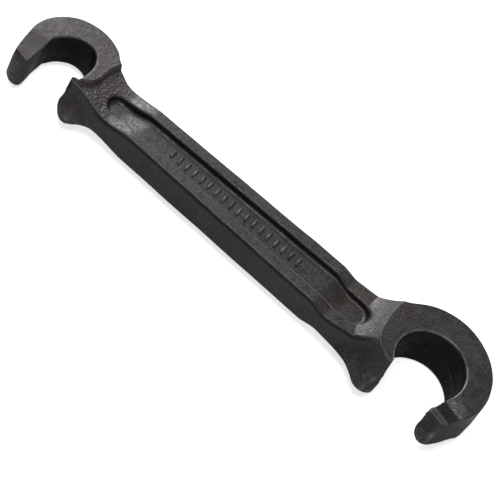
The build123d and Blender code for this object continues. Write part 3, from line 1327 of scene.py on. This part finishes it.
@dataclass
class RaisedMarks:
    """A row of plain raised bars along the floor of the upper pocket."""

    shift: Vector
    material: bpy.types.Material
    start: float = -49.0
    end: float = 36.0
    count: int = 18
    width: float = 1.5
    length: float = 6.0
    height: float = 0.7
    rounding: float = 0.3
    wear_and_highlight: float = 0.45
    floor: float = 5.8
    middle: float = 0.0

    def build(self) -> bpy.types.Object:
        """Return the marks as one piece of separate rounded bars.

        Returns:
            The piece.
        """
        shape = bmesh.new()
        for i in range(self.count):
            x = self.start + (self.end - self.start) * i / (self.count - 1)
            size = Matrix.Diagonal((self.width, self.length, self.height, 1.0))
            place = Matrix.Translation((x, self.middle, self.floor + self.height / 2))
            bmesh.ops.create_cube(shape, size=1.0, matrix=place @ size)
        top_edges = [e for e in shape.edges if all(v.co.z > self.floor + self.height / 2 for v in e.verts)]
        sides = [e for e in shape.edges if abs(e.verts[0].co.z - e.verts[1].co.z) > self.height / 2]
        bmesh.ops.bevel(shape, geom=top_edges + sides, offset=self.rounding, segments=3, affect="EDGES")
        mesh = mesh_of(shape, "raised_marks_skin")
        mesh.polygons.foreach_set("use_smooth", [True] * len(mesh.polygons))
        mesh.transform(Matrix.Translation(self.shift) @ Matrix.Scale(MM, 4))
        # The bars' mask of rubbed edges, real wear and painted highlight, the same all over them.
        layer = mesh.attributes.new("edge_wear_and_highlight", "FLOAT", "POINT")
        layer.data.foreach_set("value", [self.wear_and_highlight] * len(mesh.vertices))
        mesh.materials.append(self.material)
        made = linked("raised_marks_skin", mesh)
        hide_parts("raised_marks")
        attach(made, BODY)
        return made


# ---------------------------------------------------------------- studio


@dataclass
class SoftLight:
    """One soft box that faces the wrench."""

    name: str
    place: tuple[float, float, float]
    size: Spot
    watts: float

    def build(self) -> bpy.types.Object:
        """Return the light.

        Returns:
            The light's object.
        """
        data = bpy.data.lights.new(self.name, "AREA")
        data.shape, data.size, data.size_y, data.energy = "RECTANGLE", *self.size, self.watts
        made = linked(self.name, data)
        made.location = self.place
        made.rotation_mode = "QUATERNION"
        made.rotation_quaternion = (-Vector(self.place)).to_track_quat("-Z", "Y")
        return made


@dataclass
class Studio:
    """A pale floor, soft boxes, an even sky and the camera."""

    shift: Vector
    floor_colour: Colour = (0.9, 0.9, 0.9, 1.0)
    floor_bounce: Colour = (0.5, 0.5, 0.5, 1.0)
    floor_glow: float = 0.75
    floor_radius: float = 6.0
    floor_gap: float = 0.0005
    floor_rough: float = 0.9
    sky: float = 0.1
    camera_place: tuple[float, float, float] = (0.13615, -0.74916, 0.93600)
    camera_right: tuple[float, float, float] = (0.75296, 0.5609, 0.34416)
    camera_up: tuple[float, float, float] = (-0.65004, 0.5525, 0.52172)
    lens: float = 169.46
    sensor: float = 36.0
    camera_range: Spot = (0.01, 20.0)
    lights: tuple[SoftLight, ...] = (
        SoftLight("key", (-0.95, 0.75, 0.85), (1.0, 0.9), 24.0),
        SoftLight("back", (0.1, 1.7, 0.35), (2.6, 0.5), 12.0),
        SoftLight("overhead", (-0.15, -0.35, 1.4), (0.8, 0.5), 11.0),
        SoftLight("side", (1.0, -0.7, 0.3), (0.5, 0.4), 4.0),
    )

    def build(self) -> None:
        """Build the whole studio."""
        self.floor()
        self.sky_light()
        for light in self.lights:
            light.build()
        self.camera()

    def floor(self) -> None:
        """Build the plain pale floor."""
        shape = bmesh.new()
        bmesh.ops.create_circle(shape, cap_ends=True, segments=64, radius=self.floor_radius)
        mesh = mesh_of(shape, "studio_floor")
        made = linked("studio_floor", mesh)
        made.location.z = -self.floor_gap
        material = bpy.data.materials.new("pale_floor")
        material.use_nodes = True
        tree = material.node_tree
        build = NodeBuilder(tree)
        shader = tree.nodes["Principled BSDF"]
        shader.inputs["Roughness"].default_value = self.floor_rough
        seen = build.add("ShaderNodeLightPath").outputs["Is Camera Ray"]
        build.put(shader.inputs["Base Color"], build.mix(seen, self.floor_bounce, self.floor_colour))
        shader.inputs["Emission Color"].default_value = self.floor_colour
        build.put(shader.inputs["Emission Strength"], build.maths("MULTIPLY", seen, self.floor_glow))
        mesh.materials.append(material)

    def sky_light(self) -> None:
        """Build the even light that fills the room."""
        world = bpy.data.worlds.new("studio_sky")
        world.use_nodes = True
        background = world.node_tree.nodes["Background"]
        background.inputs["Color"].default_value = (1.0, 1.0, 1.0, 1.0)
        background.inputs["Strength"].default_value = self.sky
        bpy.context.scene.world = world

    def camera(self) -> None:
        """Build the camera and look through it."""
        data = bpy.data.cameras.new("camera")
        data.lens, data.sensor_width = self.lens, self.sensor
        data.clip_start, data.clip_end = self.camera_range
        made = linked("camera", data)
        right, up = Vector(self.camera_right), Vector(self.camera_up)
        made.rotation_mode = "QUATERNION"
        made.rotation_quaternion = Matrix((right, up, right.cross(up))).transposed().to_quaternion()
        made.location = self.shift + Vector(self.camera_place)
        bpy.context.scene.camera = made
        bpy.context.scene.view_settings.view_transform = "Standard"


def row_shift(large: LargeHook) -> Vector:
    """Return how far the forging's axes lie from the row frame, in metres.

    Args:
        large: The large hook, whose back reaches the frame's box.

    Returns:
        The shift along each axis.
    """
    low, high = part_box("large_hook_arch")
    return Vector((high.x - (large.back[0] + large.back_radius) * MM,
                   high.y - (large.back[1] + large.back_radius) * MM, (low.z + high.z) / 2))


def main() -> None:
    """Build the wrench and its studio."""
    logging.basicConfig(level=logging.INFO, format="%(relativeCreated)d ms %(message)s")
    forging = Forging()
    shift = row_shift(forging.large)
    for pattern in (ForgedGrain(), EdgeWearAndHighlight()):
        LOG.info("node group %s", pattern.group().name)
    steel = ForgedSteelFinish().material()
    for piece in ForgingPieces(forging, shift, steel).build():
        LOG.info("%s: %d faces", piece.name, len(piece.data.polygons))
    LOG.info("built %s", RaisedMarks(shift, steel).build().name)
    Studio(shift).build()


if __name__ == "__main__":
    main()
